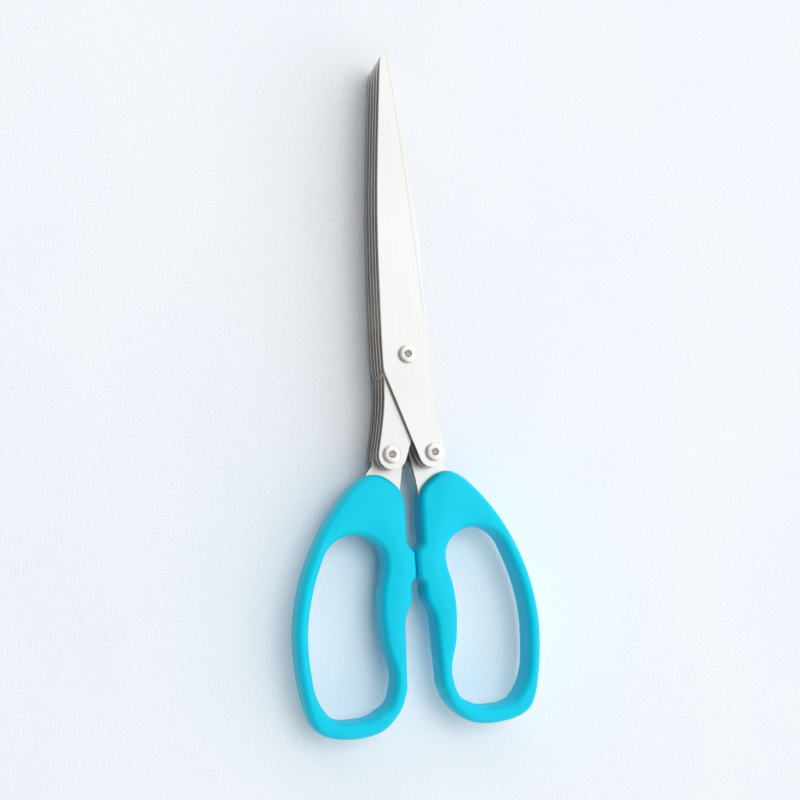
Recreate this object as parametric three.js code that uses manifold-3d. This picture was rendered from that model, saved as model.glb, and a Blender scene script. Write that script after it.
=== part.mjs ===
// Herb scissors with five blades on each handle, interleaved in one stack, shown closed.
// Millimetres. +Y points to the blade tips and +Z is up. The origin is on the pivot axis,
// on the underside of the pivot barrel's head, which is the lowest face of the object.
// The right half is drawn. The left half is the same blades, spacers and grip turned half
// a turn about Y, which also brings each left blade into the gap between two right ones.

import * as THREE from 'three';
import { mergeVertices } from 'three/addons/utils/BufferGeometryUtils.js';
import Module from 'manifold-3d';

const wasm = await Module();
wasm.setup();

// Blade stack
const bladesPerHalf = 5;
const bladeThickness = 1.5;
const runningGap = 0.1;

// Blade outline, measured from the pivot axis
const bladeReach = 87;
const tipLength = 3.1;
const tipWidth = 2.1;
const spineWidth = 6.87;
const heelDrop = 4.2;
const heelRadius = 1.4;
const ricassoWidth = 6.45;
const ricassoLength = 7.6;
const edgeInset = 0.3;
const edgeStep = 0.6;
const shankStraight = 4;

// Ground cutting edge
const bevelWidth = 0.6;
const edgeLand = 0.25;

// Barrels, screws and spacers
const barrelRadius = 1.75;
const barrelWall = 0.55;
const barrelHeadHeight = 1;
const holeClearance = 0.08;
const screwClearance = 0.1;
const screwLength = 8;
const screwEndGap = 0.6;
const clampGap = 0.3;
const headRim = 0.67;
const headHeight = 1.1;
const headChamfer = 0.35;
const socketRadius = 1.25;
const socketFloor = 0.4;
const socketPointDepth = 0.3;
const spacerWall = 0.87;

// Place of the stack screws, and the blade metal round them
const stackOffset = 5.85;
const stackDrop = 27.3;
const lobeWall = 2.07;
const lobeShift = 0.35;
const lobeTrail = 0.3;

// Grip, measured across from the plane between the halves and back from the lobes
const gripSetback = 0.78;
const gripLength = 70.1;
const gripSpan = 34.8;
const gripGap = 2.1;
const gripThickness = 11;
const gripFillet = 1.6;
const shoulderDepth = 16.2;
const shoulderWidth = 5.3;
const outerArmWidth = 3.7;
const endArmWidth = 4.65;
const innerArmWidth = 3.9;
const neckWidth = 6.7;
const palmSwell = 2.05;

// Stop pads that meet when the scissors close, and the relief behind them
const padSetback = 19.6;
const padLead = 2.4;
const padLength = 6.8;
const padFall = 1.7;
const padClearance = 0.05;
const reliefGap = 1.6;
const reliefLength = 4.4;
const reliefFlare = 4.6;
const innerArmInset = 1.95;

// Tang of the middle blade inside the grip, and the anchor holes the grip is moulded through
const tangLength = 24;
const tangMouthWidth = 10;
const tangCover = 1.5;
const tangClearance = 0.1;
const tangShoulder = 0.95;
const tangEndRadius = 0.8;
const frontAnchorRadius = 1.6;
const frontAnchorDepth = 6.2;
const rearAnchorWall = 0.75;

// Facets of the curved faces
const roundSides = 24;
const filletSteps = 3;
const gripOutlineSteps = 52;
const fingerHoleSteps = 48;
const spineSteps = 11;
const tipSteps = 4;
const cuttingEdgeSteps = 9;
const shankSteps = 6;
const lobeSteps = 8;
const heelSteps = 3;
const tangSteps = 12;
const bevelSteps = 16;

// One overrun for every cut
const overrun = 1;

// Sizes that follow from the ones above
const layerPitch = bladeThickness + runningGap;
const spacerThickness = 2 * layerPitch - bladeThickness;
const stackHeight = 2 * bladesPerHalf * layerPitch - runningGap;
const stackMiddle = barrelHeadHeight + stackHeight / 2;
const halfStackHeight = stackHeight - layerPitch;
const holeRadius = barrelRadius + holeClearance;
const boreRadius = barrelRadius - barrelWall;
const screwRadius = boreRadius - screwClearance;
const headRadius = holeRadius + headRim;
const lobeRadius = holeRadius + lobeWall;
const edgeWidth = ricassoWidth - edgeInset;
const lobeDrop = stackDrop + lobeTrail;
const gripFront = lobeDrop + lobeRadius + gripSetback;
const stackCentre = new THREE.Vector2(stackOffset, -stackDrop);
const lobeCentre = new THREE.Vector2(stackOffset - lobeShift, -lobeDrop);
const heel = new THREE.Vector2(-spineWidth, -heelDrop);

// A fillet stays under half of the slimmest arm
const filletLimitShare = 0.44;
const gripRound = Math.min(
  gripFillet,
  filletLimitShare * Math.min(outerArmWidth, endArmWidth, innerArmWidth),
);

const finish = {
  grip: { color: 0x16cfe2, roughness: 0.42, metalness: 0 },
  blade: { color: 0xd9d9d6, roughness: 0.32, metalness: 1 },
  fastener: { color: 0xcfcdc8, roughness: 0.26, metalness: 1 },
  spacer: { color: 0xb9b8b4, roughness: 0.4, metalness: 1 },
};

// The closed solid of a geometry, with its vertices merged by position alone
function solidOf(geometry) {
  const bare = geometry.clone();
  bare.deleteAttribute('normal');
  bare.deleteAttribute('uv');
  const merged = mergeVertices(bare);
  return new wasm.Manifold(new wasm.Mesh({
    numProp: 3,
    vertProperties: new Float32Array(merged.attributes.position.array),
    triVerts: new Uint32Array(merged.index.array),
  }));
}

function geometryOf(solid) {
  const mesh = solid.getMesh();
  const indexed = new THREE.BufferGeometry();
  indexed.setAttribute('position', new THREE.BufferAttribute(mesh.vertProperties, 3));
  indexed.setIndex(new THREE.BufferAttribute(mesh.triVerts, 1));
  const geometry = indexed.toNonIndexed();
  geometry.computeVertexNormals();
  return geometry;
}

function prism(shape, low, high) {
  const geometry = new THREE.ExtrudeGeometry(shape, { depth: high - low, bevelEnabled: false });
  geometry.translate(0, 0, low);
  return solidOf(geometry);
}

// A solid of revolution about Z, from points of radius and height
function turned(profile) {
  const points = profile.map(([radius, height]) => new THREE.Vector2(radius, height));
  const geometry = new THREE.LatheGeometry(points, roundSides);
  geometry.rotateX(Math.PI / 2);
  return solidOf(geometry);
}

function polygonPath(x, y, radius, sides) {
  const corners = [];
  for (let i = 0; i < sides; i += 1) {
    const angle = (2 * Math.PI * i) / sides;
    corners.push(new THREE.Vector2(x + radius * Math.cos(angle), y + radius * Math.sin(angle)));
  }
  return new THREE.Path(corners);
}

function roundHole(centre, radius) {
  return polygonPath(centre.x, centre.y, radius, roundSides);
}

// Evenly spaced points on a smooth curve through a few given ones
function smooth(knots, steps) {
  const curve = new THREE.CatmullRomCurve3(
    knots.map(([x, y]) => new THREE.Vector3(x, y, 0)), false, 'centripetal',
  );
  return curve.getSpacedPoints(steps).map((point) => new THREE.Vector2(point.x, point.y));
}

// Spine and cutting edge, as shares of the widths at the pivot and of the reach
const spineShares = [
  [1, 0.05], [0.964, 0.184], [0.904, 0.345], [0.809, 0.5], [0.649, 0.667], [0.512, 0.793], [0.393, 0.897],
];
const cuttingEdgeShares = [[0, 1], [0.195, 0.878], [0.478, 0.65], [0.715, 0.424], [0.909, 0.2]];
const tipBendShares = [0.76, 0.13];

function spineRun() {
  const knots = spineShares.map(([x, y]) => [-x * spineWidth, y * bladeReach]);
  return smooth([...knots, [-tipWidth, bladeReach - tipLength]], spineSteps);
}

function tipRun() {
  const start = new THREE.Vector2(-tipWidth, bladeReach - tipLength);
  const bend = new THREE.Vector2(
    -tipWidth * tipBendShares[0],
    bladeReach - tipLength * tipBendShares[1],
  );
  const end = new THREE.Vector2(0, bladeReach);
  return new THREE.QuadraticBezierCurve(start, bend, end).getPoints(tipSteps).slice(1, -1);
}

function cuttingEdgeKnots() {
  return cuttingEdgeShares.map(([x, y]) => [x * edgeWidth, y * bladeReach]);
}

function cuttingEdgeRun() {
  return smooth([...cuttingEdgeKnots(), [edgeWidth, ricassoLength + edgeStep]], cuttingEdgeSteps);
}

function lobePoint(angle) {
  return new THREE.Vector2(
    lobeCentre.x + lobeRadius * Math.cos(angle),
    lobeCentre.y + lobeRadius * Math.sin(angle),
  );
}

// Where the straight edge from the heel touches the lobe round the stack screw
function lobeTouchAngle() {
  const toHeel = heel.clone().sub(lobeCentre);
  return toHeel.angle() + Math.acos(lobeRadius / toHeel.length());
}

// Shank edge from the straight beside the pivot out to the lobe, leaving both smoothly
const lobeStartAngle = Math.PI / 15;
const shankBendShare = 0.42;

function shankRun() {
  const start = new THREE.Vector2(ricassoWidth, -shankStraight);
  const end = lobePoint(lobeStartAngle);
  const reach = (start.y - end.y) * shankBendShare;
  const startBend = new THREE.Vector2(start.x, start.y - reach);
  const endBend = new THREE.Vector2(
    end.x - reach * Math.sin(lobeStartAngle),
    end.y + reach * Math.cos(lobeStartAngle),
  );
  return new THREE.CubicBezierCurve(start, startBend, endBend, end).getPoints(shankSteps);
}

function lobeRun() {
  const sweep = lobeTouchAngle() - 2 * Math.PI - lobeStartAngle;
  const run = [];
  for (let i = 1; i <= lobeSteps; i += 1) {
    run.push(lobePoint(lobeStartAngle + (sweep * i) / lobeSteps));
  }
  return run;
}

// The heel's corner, rounded between the straight edge that arrives and the spine
function heelRun(arrival) {
  const start = arrival.clone().sub(heel).setLength(heelRadius).add(heel);
  const end = new THREE.Vector2(heel.x, heel.y + heelRadius);
  return new THREE.QuadraticBezierCurve(start, heel, end).getPoints(heelSteps);
}

// Tang, wide at the grip's mouth and narrow in its neck, where it keeps the tang cover
const tangInner = gripGap + tangCover;
const tangOuter = gripGap + neckWidth - tangCover;
const tangMouthInner = gripGap + tangClearance;
const tangMouthOuter = tangMouthInner + tangMouthWidth;
const tangEnd = gripFront + tangLength;

// Across from the lobe to the mouth and back from the stack screw to the mouth
const tangFlareShares = [[0, 0], [0.08, 0.35], [0.45, 0.72], [1, 1.1]];
// Across from the neck to the mouth and back over the shoulder's depth
const tangThroatOuterShares = [[0.944, 0.3], [0.556, 0.6], [0.12, 0.86], [0, 1]];
const tangThroatInnerShares = [[0, 0.9], [0.5, 0.6], [1, 0.22]];

function throatKnots(shares, neckX, mouthX) {
  return shares.map(([x, y]) => [neckX + x * (mouthX - neckX), -gripFront - y * shoulderDepth]);
}

// Outline of the tang from the lobe to the shoulder beside it, grown by a clearance
function tangRun(grow) {
  const inner = tangInner - grow;
  const outer = tangOuter + grow;
  const mouthOuter = tangMouthOuter + grow;
  const tailEnd = -tangEnd - grow;
  const lobe = lobeCentre.x + lobeRadius + grow;
  const shoulder = lobeCentre.x - lobeRadius - tangShoulder - grow;
  const flare = tangFlareShares.map(([x, y]) => [
    lobe + x * (mouthOuter - lobe),
    -lobeDrop - y * (gripFront - lobeDrop),
  ]);
  const outerKnots = [...flare, ...throatKnots(tangThroatOuterShares, outer, mouthOuter)];
  const innerKnots = throatKnots(tangThroatInnerShares, inner, tangMouthInner - grow);
  return [
    ...smooth([...outerKnots, [outer, tailEnd + tangEndRadius]], tangSteps),
    new THREE.Vector2(outer - tangEndRadius, tailEnd),
    new THREE.Vector2(inner + tangEndRadius, tailEnd),
    ...smooth([[inner, tailEnd + tangEndRadius], ...innerKnots, [shoulder, -lobeDrop]], tangSteps),
  ];
}

const frontAnchor = new THREE.Vector2(
  (tangInner + tangMouthOuter) / 2,
  -gripFront - frontAnchorDepth,
);
const rearAnchorRadius = (tangOuter - tangInner) / 2 - rearAnchorWall;
const rearAnchor = new THREE.Vector2(
  (tangInner + tangOuter) / 2,
  -tangEnd + rearAnchorWall + rearAnchorRadius + tangEndRadius,
);

function bladeShape(withTang) {
  const end = withTang ? tangRun(0) : lobeRun();
  const shape = new THREE.Shape([
    ...spineRun(),
    ...tipRun(),
    ...cuttingEdgeRun(),
    new THREE.Vector2(ricassoWidth, ricassoLength),
    ...shankRun(),
    ...end,
    ...heelRun(end[end.length - 1]),
  ]);
  shape.holes.push(roundHole(new THREE.Vector2(), holeRadius), roundHole(stackCentre, holeRadius));
  if (withTang) {
    shape.holes.push(roundHole(frontAnchor, frontAnchorRadius), roundHole(rearAnchor, rearAnchorRadius));
  }
  return shape;
}

// Where the bevel leaves the edge, across in bevel widths and along in ricasso lengths
const bevelRunOutShares = [[-0.15, 1.3], [0.12, 1.16], [1.2, 1.11]];
const bevelOverShare = 0.5;

// The waste that grinding takes off the top face, swept along the cutting edge
function bevelWaste(top) {
  const [tip, ...rest] = cuttingEdgeKnots();
  const runOut = bevelRunOutShares.map(([x, y]) => [edgeWidth + x * bevelWidth, y * ricassoLength]);
  const path = new THREE.CatmullRomCurve3(
    [[tip[0], tip[1] + overrun], tip, ...rest, ...runOut].map(([x, y]) => new THREE.Vector3(x, y, top)),
    false,
    'centripetal',
  );
  const depth = bladeThickness - edgeLand;
  const section = new THREE.Shape([
    new THREE.Vector2(-bevelOverShare * depth, -(1 + bevelOverShare) * bevelWidth),
    new THREE.Vector2((1 + bevelOverShare) * depth, bevelOverShare * bevelWidth),
    new THREE.Vector2(-bevelOverShare * depth, bevelOverShare * bevelWidth),
  ]);
  return solidOf(new THREE.ExtrudeGeometry(section, { steps: bevelSteps, extrudePath: path }));
}

// Underside of the right half's blade with a given number, counted down from the top
function bladeUnderside(number) {
  return barrelHeadHeight + (2 * (bladesPerHalf - number) + 1) * layerPitch;
}

const middleBlade = Math.ceil(bladesPerHalf / 2);

function bladeSolid(number) {
  const low = bladeUnderside(number);
  const top = low + bladeThickness;
  return prism(bladeShape(number === middleBlade), low, top).subtract(bevelWaste(top));
}

function spacerSolid(number) {
  const low = bladeUnderside(number) - spacerThickness;
  const high = bladeUnderside(number);
  const outer = holeRadius + spacerWall;
  const ring = turned([[holeRadius, low], [outer, low], [outer, high], [holeRadius, high], [holeRadius, low]]);
  return ring.translate([stackCentre.x, stackCentre.y, 0]);
}

// Grip outline, across from the gap side to the span and back along the grip
const gripOutlineShares = [
  [0, 0.131], [0.018, 0.08], [0.086, 0.0385], [0.174, 0.01], [0.269, 0], [0.394, 0.026], [0.584, 0.1155],
  [0.734, 0.213], [0.853, 0.322], [0.936, 0.432], [0.988, 0.552], [1, 0.655], [0.9755, 0.789], [0.92, 0.906],
  [0.86, 0.957], [0.745, 0.987], [0.483, 1], [0.2875, 0.977], [0.1346, 0.9044], [0.078, 0.83],
];
const gripOutline = new THREE.CatmullRomCurve3(
  gripOutlineShares.map(([x, y]) => new THREE.Vector3(
    gripGap + x * (gripSpan - gripGap),
    -gripFront - y * gripLength,
    0,
  )),
  false,
  'centripetal',
);

// Inner side from the rear arm forward, over the relief and the stop pad
function gripInnerRun() {
  const padFront = -gripFront - padSetback - padLead;
  const padRear = padFront - padLength;
  const reliefFront = padRear - padFall;
  const reliefRear = reliefFront - reliefLength;
  return [
    new THREE.Vector2(gripGap + innerArmInset, reliefRear - reliefFlare),
    new THREE.Vector2(reliefGap, reliefRear),
    new THREE.Vector2(reliefGap, reliefFront),
    new THREE.Vector2(padClearance, padRear),
    new THREE.Vector2(padClearance, padFront),
    new THREE.Vector2(gripGap, padFront + padLead),
  ];
}

// Places along the grip outline that the arms and the shoulder are measured from
const shoulderPlaceShare = 0.286;
const outerArmPlaceShares = [0.325, 0.365, 0.405, 0.45, 0.5, 0.55, 0.6, 0.655];
const endArmPlaceShares = [0.7, 0.775, 0.82, 0.865, 0.915];
const innerArmPlaceShares = [0.945, 0.985];

// A point inside the outline, an arm's width away from one of its places
function insideOutline(place, width) {
  const inward = gripOutline.getTangentAt(place).applyAxisAngle(new THREE.Vector3(0, 0, 1), -Math.PI / 2);
  const point = gripOutline.getPointAt(place).addScaledVector(inward, width);
  return [point.x, point.y];
}

// Inner side of the finger hole, across to the palm swell and back over the hole's length
const armToSwellShares = [[-0.1, 0.776], [0.28, 0.6965], [0.72, 0.617], [0.9, 0.5356], [1, 0.452]];
const neckToSwellShares = [[0.9, 0.3686], [0.6, 0.287], [0.1, 0.2057], [0, 0.1405], [0.3, 0.0896], [1, 0.053]];
// Front of the hole, across from the neck to the shoulder and back over the hole's length
const holeFrontShares = [[0.42, 0.012], [0.63, 0]];

// The hole runs the other way round from the outline, as its extrusion needs
function fingerHolePath() {
  const top = -gripFront - shoulderDepth;
  const bottom = -gripFront - gripLength + endArmWidth;
  const neckX = gripGap + neckWidth;
  const swellX = neckX + palmSwell;
  const between = (shares, fromX, toX) => shares.map(([x, y]) => [
    fromX + x * (toX - fromX),
    top + y * (bottom - top),
  ]);
  const shoulder = insideOutline(shoulderPlaceShare, shoulderWidth);
  const knots = [
    ...between(holeFrontShares, neckX, shoulder[0]),
    shoulder,
    ...outerArmPlaceShares.map((place) => insideOutline(place, outerArmWidth)),
    ...endArmPlaceShares.map((place) => insideOutline(place, endArmWidth)),
    ...innerArmPlaceShares.map((place) => insideOutline(place, innerArmWidth)),
    ...between(armToSwellShares, gripOutline.getPointAt(1).x + innerArmWidth, swellX),
    ...between(neckToSwellShares, neckX, swellX),
  ].map(([x, y]) => new THREE.Vector3(x, y, 0));
  const curve = new THREE.CatmullRomCurve3(knots, true, 'centripetal');
  const run = curve.getSpacedPoints(fingerHoleSteps).slice(0, -1);
  return new THREE.Path(run.map((point) => new THREE.Vector2(point.x, point.y)).reverse());
}

// The room for the tang, with the posts that fill its anchor holes left standing
function tangPocket() {
  const shape = new THREE.Shape(tangRun(tangClearance));
  shape.holes.push(
    roundHole(frontAnchor, frontAnchorRadius - tangClearance),
    roundHole(rearAnchor, rearAnchorRadius - tangClearance),
  );
  const low = bladeUnderside(middleBlade);
  return prism(shape, low - tangClearance, low + bladeThickness + tangClearance);
}

function gripSolid() {
  const outerRun = gripOutline.getSpacedPoints(gripOutlineSteps);
  const shape = new THREE.Shape([
    ...outerRun.map((point) => new THREE.Vector2(point.x, point.y)),
    ...gripInnerRun(),
  ]);
  shape.holes.push(fingerHolePath());
  const geometry = new THREE.ExtrudeGeometry(shape, {
    depth: gripThickness - 2 * gripRound,
    bevelThickness: gripRound,
    bevelSize: gripRound,
    bevelOffset: -gripRound,
    bevelSegments: filletSteps,
  });
  geometry.translate(0, 0, stackMiddle - gripThickness / 2 + gripRound);
  return solidOf(geometry).subtract(tangPocket());
}

// Threaded barrel with a plain flat head, which clamps a height of blades above the head
function barrelSolid(clampHeight) {
  const end = barrelHeadHeight + clampHeight - clampGap;
  const boreEnd = barrelHeadHeight + clampHeight - screwLength - screwEndGap;
  return turned([
    [0, 0],
    [headRadius - headChamfer, 0],
    [headRadius, headChamfer],
    [headRadius, barrelHeadHeight],
    [barrelRadius, barrelHeadHeight],
    [barrelRadius, end],
    [boreRadius, end],
    [boreRadius, boreEnd],
    [0, boreEnd],
  ]);
}

// Hexagon socket with a drill point at its bottom
const socketPointShare = 0.8;

function socketWaste() {
  const hexagon = new THREE.Shape(polygonPath(0, 0, socketRadius, 6).getPoints());
  const pointRadius = socketRadius * Math.cos(Math.PI / 6) * socketPointShare;
  const point = turned([
    [0, socketFloor - socketPointDepth],
    [pointRadius, socketFloor],
    [pointRadius, headHeight],
    [0, headHeight],
  ]);
  return prism(hexagon, socketFloor, headHeight + overrun).add(point);
}

// Screw with its head's underside at height zero
function screwSolid() {
  const body = turned([
    [0, -screwLength],
    [screwRadius, -screwLength],
    [screwRadius, 0],
    [headRadius, 0],
    [headRadius, headHeight - headChamfer],
    [headRadius - headChamfer, headHeight],
    [0, headHeight],
  ]);
  return body.subtract(socketWaste());
}

function turnToLeft(geometry) {
  return geometry.clone().rotateY(Math.PI).translate(0, 0, 2 * stackMiddle);
}

const object = new THREE.Group();
object.name = 'herb_scissors';

function place(name, geometry, look) {
  const mesh = new THREE.Mesh(geometry, new THREE.MeshStandardMaterial(finish[look]));
  mesh.name = name;
  object.add(mesh);
}

function placeBothSides(right, left, solid, look) {
  const geometry = geometryOf(solid);
  place(right, geometry, look);
  place(left, turnToLeft(geometry), look);
}

function placeFastener(name, x, y, low, clampHeight, headGap) {
  const screwSeat = low + barrelHeadHeight + clampHeight + headGap;
  place(`${name}_barrel`, geometryOf(barrelSolid(clampHeight).translate([x, y, low])), 'fastener');
  place(`${name}_screw`, geometryOf(screwSolid().translate([x, y, screwSeat])), 'fastener');
}

placeBothSides('right_handle', 'left_handle', gripSolid(), 'grip');
for (let i = 1; i <= bladesPerHalf; i += 1) {
  placeBothSides(`right_blade_${i}`, `left_blade_${bladesPerHalf + 1 - i}`, bladeSolid(i), 'blade');
}
for (let i = 1; i < bladesPerHalf; i += 1) {
  placeBothSides(`right_spacer_${i}`, `left_spacer_${bladesPerHalf - i}`, spacerSolid(i), 'spacer');
}
placeFastener('pivot', 0, 0, 0, stackHeight, runningGap);
placeFastener('right_stack', stackOffset, -stackDrop, layerPitch, halfStackHeight, 0);
placeFastener('left_stack', -stackOffset, -stackDrop, 0, halfStackHeight, 0);

export default object;
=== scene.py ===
"""Herb scissors: the looks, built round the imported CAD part.

The ten blades are the CAD nodes with eased edges and ground steel. The two grips, the screws,
the barrels and the spacers are built here at full fineness from the CAD nodes' own outlines and
boxes, and stand for them. Lengths are in metres, in the CAD frame. Light is given in linear
shares of red, green and blue, and a surface's colour from 0 to 255, as read off a screen.
"""

import math

import bmesh
import bpy
import numpy as np
from mathutils import Matrix, Vector
from mathutils.geometry import delaunay_2d_cdt


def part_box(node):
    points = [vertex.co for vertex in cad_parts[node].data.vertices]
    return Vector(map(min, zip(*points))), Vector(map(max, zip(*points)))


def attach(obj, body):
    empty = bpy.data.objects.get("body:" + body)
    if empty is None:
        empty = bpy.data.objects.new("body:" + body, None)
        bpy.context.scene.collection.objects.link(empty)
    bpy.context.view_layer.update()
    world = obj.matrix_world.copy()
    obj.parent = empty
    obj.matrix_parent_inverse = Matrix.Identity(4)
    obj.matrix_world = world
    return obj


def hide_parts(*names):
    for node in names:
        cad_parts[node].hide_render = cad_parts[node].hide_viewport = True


MM = 0.001

# The photograph's camera: where it stands, what its centre looks at, and what is up in the frame.
CAMERA_AT = (-0.08925, -0.04381, 0.31627)
CAMERA_AIM = (0.00197, -0.01087, 0.0)
CAMERA_UP = (0.03613, 0.99285, 0.11381)
CAMERA_LENS = 51.51
CAMERA_SENSOR = 36.0
CLIP_NEAR = 0.01
CLIP_FAR = 20

# A round lamp hangs overhead, a little to the right and towards the tips.
LAMP_TOWARDS = (0.172, 0.148, 0.974)
LAMP_DISTANCE = 1.3
LAMP_SIZE = 0.8
LAMP_WATTS = 6.0
LAMP_COLOUR = (1.0, 0.965, 0.945)

# The room is bright on the right and dim on the left, with a narrow border that passes overhead,
# so that shadows fall to the left. What the steel mirrors brightens slowly, from grey on the left
# to bright on the right. A range gives the cosines, from the direction before it, between which
# the room brightens.
ROOM_TOWARDS = (0.758, -0.015, -0.652)
ROOM_RANGE = (-0.76, -0.63)
ROOM_DIM = (0.105, 0.1, 0.095)
ROOM_BRIGHT = (1.075, 1.075, 1.075)
MIRRORED_TOWARDS = (0.88, 0.22, 0.42)
MIRRORED_RANGE = (-0.1, 0.92)
MIRRORED_DIM = (0.34, 0.32, 0.3)
MIRRORED_BRIGHT = (1.395, 1.395, 1.395)
BACKDROP = (1.0, 1.0, 1.0)

# Tones: where each colour stands on a noise that runs from 0 to 1.
GRIP_TONES = ((0.3, (0, 198, 227)), (0.5, (0, 203, 231)), (0.72, (2, 208, 236)))
GRIP_ROUGHNESS = (0.42, 0.5)
GRIP_SPECULAR = 0.22
STEEL_TONES = ((0.25, (226, 228, 228)), (0.5, (230, 232, 232)), (0.75, (234, 236, 236)))
STEEL_CLOUDS = ((0.35, (251, 250, 248)), (0.65, (255, 255, 255)))
STEEL_ROUGHNESS = (0.27, 0.33)
FASTENER_TONES = ((0.3, (222, 219, 214)), (0.7, (240, 238, 235)))
FASTENER_ROUGHNESS = (0.2, 0.3)
SPACER_TONES = ((0.3, (170, 166, 160)), (0.7, (200, 197, 192)))
SPACER_ROUGHNESS = (0.3, 0.4)
CLOTH_FOLD_SHADE = ((0.3, (237, 244, 250)), (0.7, (242, 248, 253)))
CLOTH_SLUBS = ((0.3, (251, 251, 252)), (0.7, (255, 255, 255)))
CLOTH_THREADS = ((0.0, (250, 250, 251)), (0.4, (255, 255, 255)))
CLOTH_ROUGHNESS = 0.9
CLOTH_SPECULAR = 0.1

# A blade's stamped side wall, from the top of its layer down: burnished, then torn and much
# darker. That dark lower band is painted shade, for the shade in the gaps between the blades. The
# span is where one turns into the other, as a share of the layer's height.
LAYER_PITCH = 1.6 * MM
TORN_AND_SHADE_SPAN = (0.4, 0.6)
BURNISHED = (226, 214, 204)
TORN_AND_SHADE = (98, 82, 74)

# The cloth. The wave rate is how many radians a wave texture of scale 1 runs through in a metre.
FLOOR_REACH = 1.6
THREAD_PITCH = 0.66 * MM
WAVE_RATE = 20

# Grips: the outline is read off the CAD node where its lower rounding has ended.
OUTLINE_LEVEL = 3
WELD = 0.01 * MM
SAMPLE_STEP = 0.45 * MM
STRAIGHT_SHARE = 0.08
CORNER_TURN = math.radians(35)
CORNER_STEPS = 6
SHARP_CUT = 0.7 * MM
SOFT_CUT = 2.2 * MM
CUT_SHARE = 0.42
INSET_SLACK = 0.02 * MM
ROUND_WIDTH = 1.72 * MM
ROUND_HEIGHT = 2.3 * MM
ROUND_RINGS = 8
CROWN_RISE = 0.6 * MM
CROWN_RUN = 7.0 * MM
CROWN_GRID = 1.1 * MM
CROWN_GRID_MARGIN = 0.6 * CROWN_GRID
SAME_POINT = 1e-5
DRAFT = 0.1 * MM
PARTING_DEPTH = 0.07 * MM
PARTING_HALF = 0.11 * MM
GRIP_NORMAL_WEIGHT = 60
NEAREST_BATCH = 256

# Blades.
BLADE_WELD = 0.001 * MM
BLADE_EASE = 0.07 * MM
BLADE_EASE_RINGS = 2
BLADE_EASE_ANGLE = math.radians(32)

# Fasteners.
ROUND_SEGMENTS = 72
FACET_ANGLE = math.radians(28)
LATHE_WELD = 0.0005 * MM
SCREW_SHANK = 1.1 * MM
SCREW_CHAMFER = 0.2 * MM
HEAD_HEIGHT = 1.1 * MM
HEAD_CHAMFER = 0.08 * MM
HEAD_SHOULDER = 0.4 * MM
HEAD_DOME_REACH = 0.56
HEAD_DOME_RINGS = 7
HEXAGON = 6
SOCKET_RADIUS = 1.02 * MM
SOCKET_LIP = 0.14 * MM
SOCKET_LIP_DROP = 0.01 * MM
SOCKET_ROUND = 0.06 * MM
SOCKET_FLOOR = 0.22 * MM
SOCKET_FILLET = 0.05 * MM
SOCKET_FILLET_RISE = 0.03 * MM
DRILL_RIM = 0.88 * SOCKET_RADIUS
DRILL_MOUTH = 0.86 * SOCKET_RADIUS
DRILL_MOUTH_DROP = 0.02 * MM
DRILL_TIP = 0.08 * SOCKET_RADIUS
DRILL_DEPTH = 0.5 * MM
BARREL_SHANK = 1.75 * MM
BARREL_HEAD = 1.0 * MM
BARREL_CHAMFER = 0.18 * MM
BARREL_FLAT = 0.1 * MM
BARREL_SEAT_CHAMFER = 0.06 * MM
BARREL_END_CHAMFER = 0.1 * MM
DISH_SHARE = 0.45
DISH_DEPTH = 0.03 * MM
SPACER_CHAMFER = 0.1 * MM
SPACER_CLEARANCE = 0.08 * MM
FASTENED_BODY = {"pivot": "left_half", "left_stack": "left_half", "right_stack": "right_half"}


# Camera, light and floor.


def make_camera():
    """The photograph's camera, turned so that CAMERA_UP is up in the frame."""
    camera = bpy.data.objects.new("camera", bpy.data.cameras.new("camera"))
    bpy.context.scene.collection.objects.link(camera)
    back = (Vector(CAMERA_AT) - Vector(CAMERA_AIM)).normalized()
    right = Vector(CAMERA_UP).cross(back).normalized()
    up = back.cross(right)
    turn = Matrix((right, up, back)).transposed().to_4x4()
    camera.matrix_world = Matrix.Translation(CAMERA_AT) @ turn
    camera.data.sensor_width = CAMERA_SENSOR
    camera.data.lens = CAMERA_LENS
    camera.data.clip_start = CLIP_NEAR
    camera.data.clip_end = CLIP_FAR
    bpy.context.scene.camera = camera


def make_lamp():
    """The round lamp. Steel doesn't mirror it, only the room."""
    lamp = bpy.data.lights.new("studio_lamp", "AREA")
    lamp.shape = "DISK"
    lamp.size = LAMP_SIZE
    lamp.energy = LAMP_WATTS
    lamp.color = LAMP_COLOUR
    towards = Vector(LAMP_TOWARDS).normalized()
    lamp_object = bpy.data.objects.new("studio_lamp", lamp)
    lamp_object.location = towards * LAMP_DISTANCE
    lamp_object.rotation_mode = "QUATERNION"
    lamp_object.rotation_quaternion = (-towards).to_track_quat("-Z", "Y")
    lamp_object.visible_glossy = False
    bpy.context.scene.collection.objects.link(lamp_object)


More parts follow.
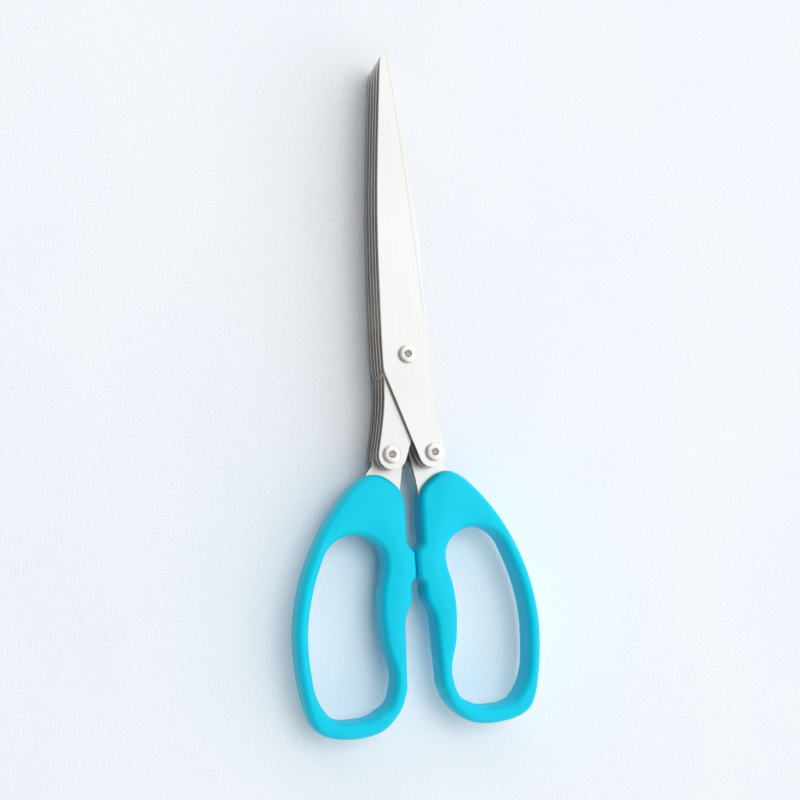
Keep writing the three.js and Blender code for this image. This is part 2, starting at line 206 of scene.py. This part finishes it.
def make_world():
    """One two-sided room for the light, another for reflections, and white for the camera."""
    world = bpy.data.worlds.new("studio")
    world.use_nodes = True
    tree = world.node_tree
    tree.nodes.clear()
    rays = tree.nodes.new("ShaderNodeLightPath")
    direction = tree.nodes.new("ShaderNodeTexCoord").outputs["Generated"]

    def graded(towards, span, dim, bright):
        facing = tree.nodes.new("ShaderNodeVectorMath")
        facing.operation = "DOT_PRODUCT"
        facing.inputs[1].default_value = Vector(towards).normalized()
        tree.links.new(direction, facing.inputs[0])
        share = tree.nodes.new("ShaderNodeMapRange")
        share.interpolation_type = "SMOOTHSTEP"
        share.inputs["From Min"].default_value = span[0]
        share.inputs["From Max"].default_value = span[1]
        tree.links.new(facing.outputs["Value"], share.inputs["Value"])
        return either(share.outputs[0], plain(dim), plain(bright))

    def plain(colour):
        background = tree.nodes.new("ShaderNodeBackground")
        background.inputs["Color"].default_value = (*colour, 1)
        return background.outputs[0]

    def either(share, first, second):
        mix = tree.nodes.new("ShaderNodeMixShader")
        tree.links.new(share, mix.inputs[0])
        tree.links.new(first, mix.inputs[1])
        tree.links.new(second, mix.inputs[2])
        return mix.outputs[0]

    light = graded(ROOM_TOWARDS, ROOM_RANGE, ROOM_DIM, ROOM_BRIGHT)
    mirrored = graded(MIRRORED_TOWARDS, MIRRORED_RANGE, MIRRORED_DIM, MIRRORED_BRIGHT)
    light = either(rays.outputs["Is Glossy Ray"], light, mirrored)
    light = either(rays.outputs["Is Camera Ray"], light, plain(BACKDROP))
    out = tree.nodes.new("ShaderNodeOutputWorld")
    tree.links.new(light, out.inputs["Surface"])
    bpy.context.scene.world = world


def make_floor(material):
    """The square of cloth that the scissors lie on."""
    mesh = bpy.data.meshes.new("floor")
    r = FLOOR_REACH
    mesh.from_pydata([(-r, -r, 0), (r, -r, 0), (r, r, 0), (-r, r, 0)], [], [(0, 1, 2, 3)])
    floor = bpy.data.objects.new("floor", mesh)
    floor.data.materials.append(material)
    bpy.context.scene.collection.objects.link(floor)


# Materials.


class Nodes:
    """A material's node tree with short calls for what the materials here share."""

    def __init__(self, name):
        self.material = bpy.data.materials.new(name)
        self.material.use_nodes = True
        self.tree = self.material.node_tree
        self.tree.nodes.clear()
        self.shader = self.add("ShaderNodeBsdfPrincipled")
        out = self.add("ShaderNodeOutputMaterial")
        self.link(self.shader.outputs[0], out.inputs["Surface"])
        self.place = self.add("ShaderNodeTexCoord").outputs["Object"]

    def add(self, kind, **settings):
        node = self.tree.nodes.new(kind)
        for key, value in settings.items():
            setattr(node, key, value)
        return node

    def link(self, a, b):
        self.tree.links.new(a, b)

    def feed(self, socket, value):
        """Links a node's output to the shader's socket of that name."""
        self.link(value, self.shader.inputs[socket])

    def set(self, socket, value):
        """Sets the shader's own socket to what is the same all over the surface."""
        self.shader.inputs[socket].default_value = value

    def noise(self, scale, stretch=(1, 1, 1), detail=3.0, rough=0.55):
        """Noise of `scale` cells to the metre, each axis multiplied by its stretch."""
        mapping = self.add("ShaderNodeMapping")
        mapping.inputs["Scale"].default_value = stretch
        self.link(self.place, mapping.inputs["Vector"])
        node = self.add("ShaderNodeTexNoise")
        node.inputs["Scale"].default_value = scale
        node.inputs["Detail"].default_value = detail
        node.inputs["Roughness"].default_value = rough
        self.link(mapping.outputs[0], node.inputs["Vector"])
        return node.outputs["Fac"]

    def wave(self, scale, distortion, detail, **settings):
        node = self.add("ShaderNodeTexWave", **settings)
        node.inputs["Scale"].default_value = scale
        node.inputs["Distortion"].default_value = distortion
        node.inputs["Detail"].default_value = detail
        self.link(self.place, node.inputs["Vector"])
        return node.outputs

    def threads(self, across):
        """Parallel threads, THREAD_PITCH apart, with the unevenness of spun yarn."""
        scale = math.tau / (WAVE_RATE * THREAD_PITCH)
        bands = self.wave(
            scale, distortion=1.2, detail=1, wave_type="BANDS", bands_direction=across
        )
        return bands["Color"]

    def span(self, value, low, high, start=0.3, end=0.7):
        """`low` while the value is under `start`, `high` when past `end`, graded between."""
        node = self.add("ShaderNodeMapRange")
        node.inputs["From Min"].default_value = start
        node.inputs["From Max"].default_value = end
        node.inputs["To Min"].default_value = low
        node.inputs["To Max"].default_value = high
        self.link(value, node.inputs["Value"])
        return node.outputs[0]

    def ramp(self, value, tones):
        node = self.add("ShaderNodeValToRGB")
        ramp = node.color_ramp
        while len(ramp.elements) < len(tones):
            ramp.elements.new(1.0)
        for element, (at, colour) in zip(ramp.elements, tones):
            element.position = at
            element.color = linear(colour)
        self.link(value, node.inputs["Fac"])
        return node.outputs["Color"]

    def plain(self, colour):
        node = self.add("ShaderNodeRGB")
        node.outputs[0].default_value = linear(colour)
        return node.outputs[0]

    def mix(self, share, a, b):
        node = self.add("ShaderNodeMix", data_type="RGBA")
        self.link(share, node.inputs["Factor"])
        self.link(a, node.inputs["A"])
        self.link(b, node.inputs["B"])
        return node.outputs["Result"]

    def multiply(self, a, b):
        node = self.add("ShaderNodeMix", data_type="RGBA", blend_type="MULTIPLY")
        node.inputs["Factor"].default_value = 1.0
        self.link(a, node.inputs["A"])
        self.link(b, node.inputs["B"])
        return node.outputs["Result"]

    def compute(self, operation, a, b=0.0):
        node = self.add("ShaderNodeMath", operation=operation)
        self.link(a, node.inputs[0])
        node.inputs[1].default_value = b
        return node.outputs[0]

    def upright(self):
        """1 where the surface is a side wall, 0 where it lies flat."""
        parts = self.add("ShaderNodeSeparateXYZ")
        self.link(self.add("ShaderNodeTexCoord").outputs["Normal"], parts.inputs[0])
        return self.span(self.compute("ABSOLUTE", parts.outputs["Z"]), 1.0, 0.0)

    def layer_height(self, foot):
        """How far up its own layer of the stack a point lies, 0 to 1."""
        parts = self.add("ShaderNodeSeparateXYZ")
        self.link(self.place, parts.inputs[0])
        above = self.compute("SUBTRACT", parts.outputs["Z"], foot)
        return self.compute("FRACT", self.compute("DIVIDE", above, LAYER_PITCH))

    def bump(self, height, distance, strength, under=None):
        node = self.add("ShaderNodeBump")
        node.inputs["Strength"].default_value = strength
        node.inputs["Distance"].default_value = distance
        self.link(height, node.inputs["Height"])
        if under is not None:
            self.link(under, node.inputs["Normal"])
        return node.outputs[0]


def linear(colour):
    """An opaque colour as it is read off a screen, 0 to 255, as the shader wants it."""
    def one(c):
        c /= 255
        return c / 12.92 if c <= 0.04045 else ((c + 0.055) / 1.055) ** 2.4
    return (*(one(c) for c in colour), 1)


def grip_plastic():
    """Turquoise moulded plastic with a fine spark-eroded texture and faint flow mottling."""
    n = Nodes("grip_plastic")
    flow = n.noise(scale=60, stretch=(1.0, 0.4, 1.0), detail=4)
    grain = n.noise(scale=2600, detail=2)
    n.feed("Base Color", n.ramp(flow, GRIP_TONES))
    n.feed("Roughness", n.span(flow, *GRIP_ROUGHNESS))
    n.set("Specular IOR Level", GRIP_SPECULAR)
    n.feed("Normal", n.bump(grain, distance=0.02 * MM, strength=0.35))
    return n.material


def blade_steel(layer_foot):
    """Satin stainless steel, ground along the blade, with faint cross scratches. The stamped side
    walls are dull: burnished in their upper part, and torn below it, where a darker colour is
    painted shade for the gaps between the blades."""
    n = Nodes("blade_steel")
    grain = n.noise(scale=1500, stretch=(1.0, 0.03, 1.0), detail=4, rough=0.65)
    cloud = n.noise(scale=45)
    scratch = n.noise(scale=900, stretch=(0.05, 1.0, 1.0), detail=2)
    face = n.multiply(n.ramp(grain, STEEL_TONES), n.ramp(cloud, STEEL_CLOUDS))
    # Painted shade: the lower part of each layer's side wall is darkened for the shade in the
    # gaps between the blades.
    torn_and_shade_share = n.span(n.layer_height(layer_foot), 1.0, 0.0, *TORN_AND_SHADE_SPAN)
    wall = n.mix(torn_and_shade_share, n.plain(BURNISHED), n.plain(TORN_AND_SHADE))
    n.feed("Base Color", n.mix(n.upright(), face, wall))
    n.feed("Roughness", n.span(grain, *STEEL_ROUGHNESS))
    n.set("Metallic", 1.0)
    fine = n.bump(scratch, distance=0.002 * MM, strength=0.12)
    n.feed("Normal", n.bump(grain, distance=0.003 * MM, strength=0.16, under=fine))
    return n.material


def turned_steel(name, tones, roughness):
    """Steel with the fine rings that turning leaves round the piece's own axis."""
    n = Nodes(name)
    rings = n.wave(
        scale=900, distortion=0.6, detail=2, wave_type="RINGS", rings_direction="Z"
    )
    cloud = n.noise(scale=700)
    n.feed("Base Color", n.ramp(cloud, tones))
    n.feed("Roughness", n.span(cloud, *roughness))
    n.set("Metallic", 1.0)
    n.feed("Normal", n.bump(rings["Fac"], distance=0.006 * MM, strength=0.5))
    return n.material


def cloth():
    """The pale cloth under the scissors: a fine plain weave, and slow soft folds that are bumped
    and whose shade is painted into its tone.
    """
    n = Nodes("pale_cloth")
    folds_and_shade = n.noise(scale=14, stretch=(1.0, 0.6, 1.0))
    slubs = n.noise(scale=1300, stretch=(1.0, 0.6, 1.0), detail=2)
    weave = n.multiply(n.threads("X"), n.threads("Y"))
    yarn = n.multiply(n.ramp(slubs, CLOTH_SLUBS), n.ramp(weave, CLOTH_THREADS))
    # Painted shade: slow patches of lighter and darker tone stand for the shade of soft folds in
    # the cloth.
    n.feed("Base Color", n.multiply(n.ramp(folds_and_shade, CLOTH_FOLD_SHADE), yarn))
    n.set("Roughness", CLOTH_ROUGHNESS)
    n.set("Specular IOR Level", CLOTH_SPECULAR)
    soft = n.bump(folds_and_shade, distance=1.2 * MM, strength=0.25)
    woven = n.bump(weave, distance=0.08 * MM, strength=0.5, under=soft)
    n.feed("Normal", n.bump(slubs, distance=0.15 * MM, strength=0.25, under=woven))
    return n.material


# The outlines of a CAD node. A line is closed: its last point is followed by its first.


def unit(v):
    return v / np.maximum(np.linalg.norm(v, axis=-1, keepdims=True), 1e-12)


def wall_loops(node, level):
    """The closed runs of a node's points at its `level`-th height, largest run first."""
    mesh = node.data
    points = np.array([v.co for v in mesh.vertices])
    key = np.round(points / WELD * 2).astype(int)
    unique, number = np.unique(key, axis=0, return_inverse=True)
    number = number.reshape(-1)
    where = {}
    for i, n in enumerate(number):
        where.setdefault(int(n), points[i])
    heights = np.unique(unique[:, 2])
    near = np.abs(unique[:, 2] - heights[level]) <= 1
    beside = {}
    for edge in mesh.edges:
        a, b = (int(number[v]) for v in edge.vertices)
        if a != b and near[a] and near[b]:
            beside.setdefault(a, set()).add(b)
            beside.setdefault(b, set()).add(a)
    loops = []
    left = set(beside)
    while left:
        here = min(left)
        loop = []
        while here is not None:
            loop.append(here)
            left.discard(here)
            onward = [n for n in sorted(beside[here]) if n in left]
            here = onward[0] if onward else None
        loops.append(np.array([where[i][:2] for i in loop]))
    return sorted(loops, key=lambda run: -np.ptp(run[:, 1]))


def turns(loop):
    """The angle by which the run turns at each of its points."""
    before = loop - np.roll(loop, 1, axis=0)
    after = np.roll(loop, -1, axis=0) - loop
    cross = before[:, 0] * after[:, 1] - before[:, 1] * after[:, 0]
    return np.arctan2(cross, (before * after).sum(1))


def smooth_loop(loop):
    """The run as one even, dense line: curves stay curves, straights stay straight, and
    corners between straights are rounded. An edge counts as straight where its length is
    STRAIGHT_SHARE or more off the usual one, because curves were cut into even edges."""
    count = len(loop)
    length = np.linalg.norm(np.roll(loop, -1, axis=0) - loop, axis=1)
    straight = np.abs(length / np.median(length) - 1) > STRAIGHT_SHARE
    turn = turns(loop)
    along = unit(np.roll(loop, -1, axis=0) - loop)
    corner = [
        abs(turn[i]) > CORNER_TURN or (straight[i] and straight[i - 1]) for i in range(count)
    ]
    tangent = []
    for i in range(count):
        if straight[i] and not straight[i - 1]:
            tangent.append(along[i])
        elif straight[i - 1] and not straight[i]:
            tangent.append(along[i - 1])
        else:
            tangent.append(unit(along[i] + along[i - 1]))
    dense = []
    for i in range(count):
        j = (i + 1) % count
        start_cut = cut_length(i, corner, turn, length)
        end_cut = cut_length(j, corner, turn, length)
        a, b = loop[i] + along[i] * start_cut, loop[j] - along[i] * end_cut
        if corner[i]:
            dense += list(rounded(loop[i], -along[i - 1] * start_cut, along[i] * start_cut))
        if straight[i] or corner[i] or corner[j]:
            steps = steps_between(a, b)
            dense += [a + (b - a) * k / steps for k in range(steps)]
        else:
            dense += list(hermite(a, b, tangent[i] * length[i], tangent[j] * length[i]))
    return even(np.array(dense))


def cut_length(i, corner, turn, length):
    """How much of the two edges that meet at a point its rounding takes up."""
    if not corner[i]:
        return 0.0
    wished = SHARP_CUT if abs(turn[i]) > CORNER_TURN else SOFT_CUT
    return min(wished, CUT_SHARE * min(length[i - 1], length[i]))


def rounded(point, back, on):
    """A corner as a parabola that starts `back` from its point and ends `on` from it."""
    for k in range(CORNER_STEPS):
        t = k / CORNER_STEPS
        yield point + back * (1 - t) ** 2 + on * t**2


def steps_between(a, b):
    return max(1, round(np.linalg.norm(b - a) / SAMPLE_STEP))


def hermite(a, b, from_a, to_b):
    """A cubic from a to b with the given tangents, without its last point."""
    steps = steps_between(a, b)
    for k in range(steps):
        t = k / steps
        yield (
            a * (2 * t**3 - 3 * t**2 + 1)
            + from_a * (t**3 - 2 * t**2 + t)
            + b * (3 * t**2 - 2 * t**3)
            + to_b * (t**3 - t**2)
        )


def even(line):
    """A closed line sampled again at even steps."""
    closed = np.vstack([line, line[:1]])
    step = np.linalg.norm(np.diff(closed, axis=0), axis=1)
    run = np.concatenate([[0], np.cumsum(step)])
    at = np.linspace(0, run[-1], round(run[-1] / SAMPLE_STEP), endpoint=False)
    return np.stack([np.interp(at, run, closed[:, k]) for k in (0, 1)], axis=1)


def inward(loop, solid_inside):
    """Each point's direction into the material."""
    tangent = unit(np.roll(loop, -1, axis=0) - np.roll(loop, 1, axis=0))
    normal = np.stack([-tangent[:, 1], tangent[:, 0]], axis=1)
    following = np.roll(loop, -1, axis=0)
    area = (loop[:, 0] * following[:, 1] - loop[:, 1] * following[:, 0]).sum()
    anticlockwise = area > 0
    return normal if anticlockwise == solid_inside else -normal


def nearest(points, to):
    """Each point's distance from the nearest of the other points."""
    gap = np.full(len(points), np.inf)
    for start in range(0, len(to), NEAREST_BATCH):
        part = to[start : start + NEAREST_BATCH]
        away = np.linalg.norm(points[:, None, :] - part[None, :, :], axis=2)
        gap = np.minimum(gap, away.min(1))
    return gap


def inset(loop, normal, depth, walls):
    """The line moved into the material, its crossings closed up to single points."""
    moved = loop + normal * depth
    good = nearest(moved, walls) > depth - INSET_SLACK
    if good.all() or not good.any():
        return moved
    index = np.arange(len(loop))
    kept = index[good]
    around = np.concatenate([kept - len(loop), kept, kept + len(loop)])
    places = np.tile(moved[good], (3, 1))
    return np.stack([np.interp(index, around, places[:, k]) for k in (0, 1)], axis=1)


def inside(points, loop):
    """Whether each point lies within the closed line."""
    x, y = points[:, 0][:, None], points[:, 1][:, None]
    x0, y0 = loop[:, 0][None], loop[:, 1][None]
    x1, y1 = np.roll(loop, -1, axis=0)[:, 0][None], np.roll(loop, -1, axis=0)[:, 1][None]
    spans = (y0 > y) != (y1 > y)
    rise = np.where(y1 == y0, 1.0, y1 - y0)
    crossing = x < (x1 - x0) * (y - y0) / rise + x0
    return (spans & crossing).sum(1) % 2 == 1


# Meshes.


def skin(bm, rings):
    """Quads between each ring of vertices and the next."""
    for a, b in zip(rings, rings[1:]):
        for i in range(len(a)):
            j = (i + 1) % len(a)
            bm.faces.new((a[i], a[j], b[j], b[i]))


def vertex_rings(bm, rings):
    return [[bm.verts.new(p) for p in ring] for ring in rings]


def finished(bm, name):
    """The mesh with its faces turned outwards and shaded smooth."""
    bmesh.ops.recalc_face_normals(bm, faces=bm.faces)
    for face in bm.faces:
        face.smooth = True
    mesh = bpy.data.meshes.new(name)
    bm.to_mesh(mesh)
    bm.free()
    return mesh


def add_piece(name, mesh, body, material, node, at=(0, 0, 0)):
    """Adds a piece that stands for one CAD node and rides on one body."""
    piece = bpy.data.objects.new(name, mesh)
    piece.location = at
    mesh.materials.append(material)
    bpy.context.scene.collection.objects.link(piece)
    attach(piece, body)
    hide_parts(node)
    return piece


# Grips.


def wall_profile(low, high):
    """(inset, height) of each ring of a grip, from the foot of its underside to its crown."""
    foot = low + CROWN_RISE
    top = high - CROWN_RISE
    middle = (low + high) / 2
    edge = []
    for k in range(ROUND_RINGS):
        angle = math.pi / 2 * k / ROUND_RINGS
        edge.append((
            DRAFT + (ROUND_WIDTH - DRAFT) * (1 - math.sin(angle)),
            ROUND_HEIGHT * (1 - math.cos(angle)),
        ))
    return [
        *((depth, foot + rise) for depth, rise in edge),
        (DRAFT, foot + ROUND_HEIGHT),
        (0.0, middle - PARTING_HALF),
        (PARTING_DEPTH, middle),
        (0.0, middle + PARTING_HALF),
        (DRAFT, top - ROUND_HEIGHT),
        *((depth, top - rise) for depth, rise in reversed(edge)),
    ]


def crowned_cap(outer, hole, edge_height, rise):
    """Points and triangles that close the ring between two lines with a gentle crown."""
    low, high = outer.min(0), outer.max(0)
    xs = np.arange(low[0], high[0], CROWN_GRID)
    ys = np.arange(low[1], high[1], CROWN_GRID)
    grid = np.array([(x, y) for x in xs for y in ys])
    rims = np.vstack([outer, hole])
    grid = grid[inside(grid, outer) & ~inside(grid, hole)]
    grid = grid[nearest(grid, rims) > CROWN_GRID_MARGIN]
    flat = np.vstack([rims, grid]) / MM
    n, m = len(outer), len(hole)
    edges = [(i, (i + 1) % n) for i in range(n)]
    edges += [(n + i, n + (i + 1) % m) for i in range(m)]
    made = delaunay_2d_cdt([Vector(p) for p in flat], edges, [], 0, SAME_POINT)
    points = np.array([tuple(p) for p in made[0]]) * MM
    faces = made[2]
    centres = np.array([points[list(face)].mean(0) for face in faces])
    keep = inside(centres, outer) & ~inside(centres, hole)
    depth = np.minimum(nearest(points, rims), CROWN_RUN)
    height = edge_height + rise * (1 - (1 - depth / CROWN_RUN) ** 2)
    return np.column_stack([points, height]), [f for f, k in zip(faces, keep) if k]


def grip_mesh(node):
    """A moulded grip: walls round its outline and its finger hole, and two crowned faces."""
    low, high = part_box(node.name)
    outer, hole = (smooth_loop(run) for run in wall_loops(node, OUTLINE_LEVEL)[:2])
    walls = np.vstack([outer, hole])
    profile = wall_profile(low.z, high.z)
    bm = bmesh.new()
    rims = []
    for line, normal in ((outer, inward(outer, True)), (hole, inward(hole, False))):
        rings = []
        for depth, height in profile:
            flat = inset(line, normal, depth, walls)
            rings.append(np.column_stack([flat, np.full(len(flat), height)]))
        skin(bm, vertex_rings(bm, rings))
        rims.append(rings[0][:, :2])
    for height, rise in ((profile[0][1], -CROWN_RISE), (profile[-1][1], CROWN_RISE)):
        points, faces = crowned_cap(rims[0], rims[1], height, rise)
        verts = [bm.verts.new(p) for p in points]
        for face in faces:
            bm.faces.new([verts[i] for i in face])
    bmesh.ops.remove_doubles(bm, verts=bm.verts, dist=WELD)
    bmesh.ops.dissolve_degenerate(bm, edges=bm.edges, dist=WELD)
    loose = [v for v in bm.verts if not v.link_faces]
    bmesh.ops.delete(bm, geom=loose, context="VERTS")
    return finished(bm, node.name + "_moulding")


def make_grips(nodes, material):
    for side in ("left", "right"):
        name = side + "_handle"
        piece = add_piece(
            name=side + "_grip",
            mesh=grip_mesh(nodes[name]),
            body=side + "_half",
            material=material,
            node=name,
        )
        piece.modifiers.new("normals", "WEIGHTED_NORMAL").weight = GRIP_NORMAL_WEIGHT


# Blades.


def lowest_blade(nodes):
    """The height at which the stack of blades starts."""
    return min(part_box(name)[0].z for name in nodes if "_blade_" in name)


def dress_blades(nodes, material):
    """The CAD blades keep their shape: their sharp edges are eased and their shading evened."""
    for name, node in nodes.items():
        if "_blade_" not in name:
            continue
        node.data.materials.clear()
        node.data.materials.append(material)
        node.modifiers.new("weld", "WELD").merge_threshold = BLADE_WELD
        ease = node.modifiers.new("ease", "BEVEL")
        ease.width = BLADE_EASE
        ease.segments = BLADE_EASE_RINGS
        ease.limit_method = "ANGLE"
        ease.angle_limit = BLADE_EASE_ANGLE
        ease.harden_normals = False
        node.modifiers.new("normals", "WEIGHTED_NORMAL").keep_sharp = True


# Fasteners. Their rings lie about the origin at their height in the CAD frame.


def ring(radius, height, flats=0):
    """A closed ring of points about the axis, round or with `flats` equal flats."""
    points = []
    for k in range(ROUND_SEGMENTS):
        angle = math.tau * k / ROUND_SEGMENTS
        reach = radius
        if flats:
            half = math.pi / flats
            reach = radius / math.cos((angle % (2 * half)) - half)
        points.append((reach * math.cos(angle), reach * math.sin(angle), height))
    return points


def lathed(name, rings):
    """A closed solid through the rings, its first and last ring closed by a fan."""
    bm = bmesh.new()
    made = vertex_rings(bm, rings)
    skin(bm, made)
    for end in (made[0], made[-1]):
        middle = bm.verts.new(sum((v.co for v in end), Vector()) / ROUND_SEGMENTS)
        for i in range(ROUND_SEGMENTS):
            bm.faces.new((end[i], end[(i + 1) % ROUND_SEGMENTS], middle))
    bmesh.ops.remove_doubles(bm, verts=bm.verts, dist=LATHE_WELD)
    mesh = finished(bm, name)
    mesh.set_sharp_from_angle(angle=FACET_ANGLE)
    return mesh


def closed_ring(name, rings):
    """A bored solid: the last ring is joined to the first."""
    bm = bmesh.new()
    made = vertex_rings(bm, rings)
    skin(bm, [*made, made[0]])
    mesh = finished(bm, name)
    mesh.set_sharp_from_angle(angle=FACET_ANGLE)
    return mesh


def extent(name):
    """A CAD node's radius, foot and top."""
    low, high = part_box(name)
    return (high.x - low.x) / 2, low.z, high.z


def screw(name):
    """Button-head screw, head up: shank, domed head, hexagon socket with a drilled middle."""
    radius, foot, top = extent(name)
    seat = top - HEAD_HEIGHT
    floor = seat + SOCKET_FLOOR
    lip = top - SOCKET_LIP_DROP
    return lathed(name, [
        ring(SCREW_SHANK - SCREW_CHAMFER, foot),
        ring(SCREW_SHANK, foot + SCREW_CHAMFER),
        ring(SCREW_SHANK, seat),
        ring(radius - HEAD_CHAMFER, seat),
        ring(radius, seat + HEAD_CHAMFER),
        *domed(radius, top),
        ring(SOCKET_RADIUS + SOCKET_LIP, top, HEXAGON),
        ring(SOCKET_RADIUS + SOCKET_ROUND, lip, HEXAGON),
        ring(SOCKET_RADIUS, lip - SOCKET_ROUND, HEXAGON),
        ring(SOCKET_RADIUS, floor + SOCKET_FILLET_RISE, HEXAGON),
        ring(SOCKET_RADIUS - SOCKET_FILLET, floor, HEXAGON),
        ring(DRILL_RIM, floor),
        ring(DRILL_MOUTH, floor - DRILL_MOUTH_DROP),
        ring(DRILL_TIP, floor - DRILL_DEPTH),
    ])


def domed(radius, top):
    """The button head's rings, from its upright rim over the shoulder to its flat middle."""
    middle = radius * (1 - HEAD_DOME_REACH)
    for k in range(HEAD_DOME_RINGS + 1):
        angle = math.pi / 2 * k / HEAD_DOME_RINGS
        yield ring(
            middle + (radius - middle) * math.cos(angle),
            top - HEAD_SHOULDER * (1 - math.sin(angle)),
        )


def barrel(name):
    """Barrel nut, head down: a slightly dished head with a chamfered rim, and a shank. Its bore
    is hidden under the screw's head and isn't cut here."""
    radius, foot, top = extent(name)
    seat = foot + BARREL_HEAD
    rim = radius - BARREL_CHAMFER
    return lathed(name, [
        ring(radius * DISH_SHARE, foot + DISH_DEPTH),
        ring(rim - BARREL_FLAT, foot),
        ring(rim, foot),
        ring(radius, foot + BARREL_CHAMFER),
        ring(radius, seat - BARREL_SEAT_CHAMFER),
        ring(radius - BARREL_SEAT_CHAMFER, seat),
        ring(BARREL_SHANK, seat),
        ring(BARREL_SHANK, top - BARREL_END_CHAMFER),
        ring(BARREL_SHANK - BARREL_END_CHAMFER, top),
    ])


def spacer(name):
    """Washer with four chamfered edges, free on the barrel's shank."""
    radius, foot, top = extent(name)
    bore = BARREL_SHANK + SPACER_CLEARANCE
    c = SPACER_CHAMFER
    return closed_ring(name, [
        ring(radius - c, foot),
        ring(radius, foot + c),
        ring(radius, top - c),
        ring(radius - c, top),
        ring(bore + c, top),
        ring(bore, top - c),
        ring(bore, foot + c),
        ring(bore + c, foot),
    ])


def add_round_piece(name, mesh, body, material, node):
    """Adds a piece about its own centre, so that its turning rings run about its axis."""
    low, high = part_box(node)
    centre = (low + high) / 2
    mesh.transform(Matrix.Translation((0, 0, -centre.z)))
    add_piece(name, mesh, body, material, node, centre)


def make_fasteners(nodes, fastener_steel, spacer_steel):
    for place, body in FASTENED_BODY.items():
        for kind, build in (("screw", screw), ("barrel", barrel)):
            node = f"{place}_{kind}"
            name = f"{place}_turned_{kind}"
            add_round_piece(name, build(node), body, fastener_steel, node)
    for node in nodes:
        if "_spacer_" in node:
            name = node.replace("spacer", "turned_spacer")
            body = node.split("_")[0] + "_half"
            add_round_piece(name, spacer(node), body, spacer_steel, node)


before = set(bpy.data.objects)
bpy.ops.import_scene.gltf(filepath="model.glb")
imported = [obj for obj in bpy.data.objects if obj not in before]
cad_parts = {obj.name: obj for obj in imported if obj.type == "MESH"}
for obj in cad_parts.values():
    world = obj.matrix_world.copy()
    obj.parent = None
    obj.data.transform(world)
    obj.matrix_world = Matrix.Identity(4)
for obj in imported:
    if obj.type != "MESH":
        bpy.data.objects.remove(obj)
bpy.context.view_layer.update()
make_camera()
make_lamp()
make_world()
make_floor(cloth())
make_grips(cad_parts, grip_plastic())
dress_blades(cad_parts, blade_steel(lowest_blade(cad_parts)))
make_fasteners(
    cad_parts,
    turned_steel("fastener_steel", FASTENER_TONES, FASTENER_ROUGHNESS),
    turned_steel("spacer_steel", SPACER_TONES, SPACER_ROUGHNESS),
)
bpy.context.scene.view_settings.view_transform = "Standard"
